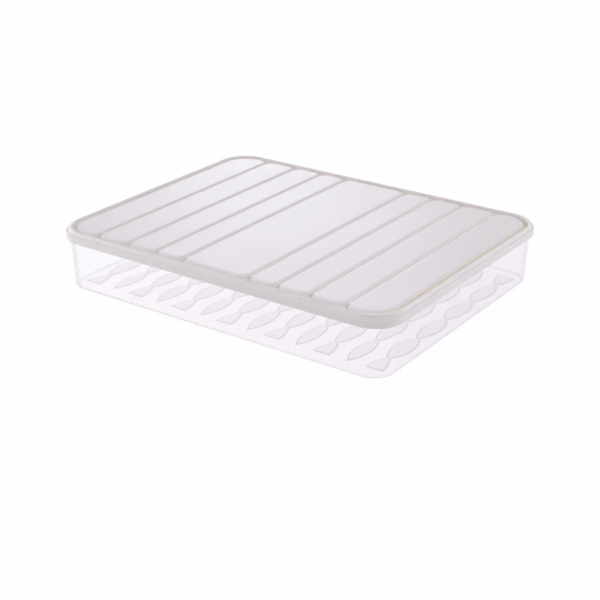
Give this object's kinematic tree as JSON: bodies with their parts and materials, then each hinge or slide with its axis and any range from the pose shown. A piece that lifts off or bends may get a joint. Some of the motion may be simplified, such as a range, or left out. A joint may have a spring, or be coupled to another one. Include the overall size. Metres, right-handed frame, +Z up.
{
  "type": "refrigerator storage box",
  "caption": "Shallow clear food tray with leaning walls and a ribboned floor, closed by a white lift-off lid with raised panels, a rim groove and a stepped skirt.",
  "frame": {"origin": "under the middle of the tray's base", "axes": "+X along the long walls, +Y to the back long wall, +Z up out of the tray's mouth"},
  "size_m": [0.34, 0.2656, 0.0555],
  "materials": {
    "tray_clear": "clear injection-moulded plastic, polished",
    "lid_white": "warm white injection-moulded plastic, satin"
  },
  "bodies": {
    "tray": {"tray": "tray_clear"},
    "lid": {"lid": "lid_white"}
  },
  "joints": [
    {"name": "lid_lift", "type": "slide", "parent": "tray", "child": "lid", "axis": [0, 0, 1], "range_m": [0, 0.08]}
  ]
}
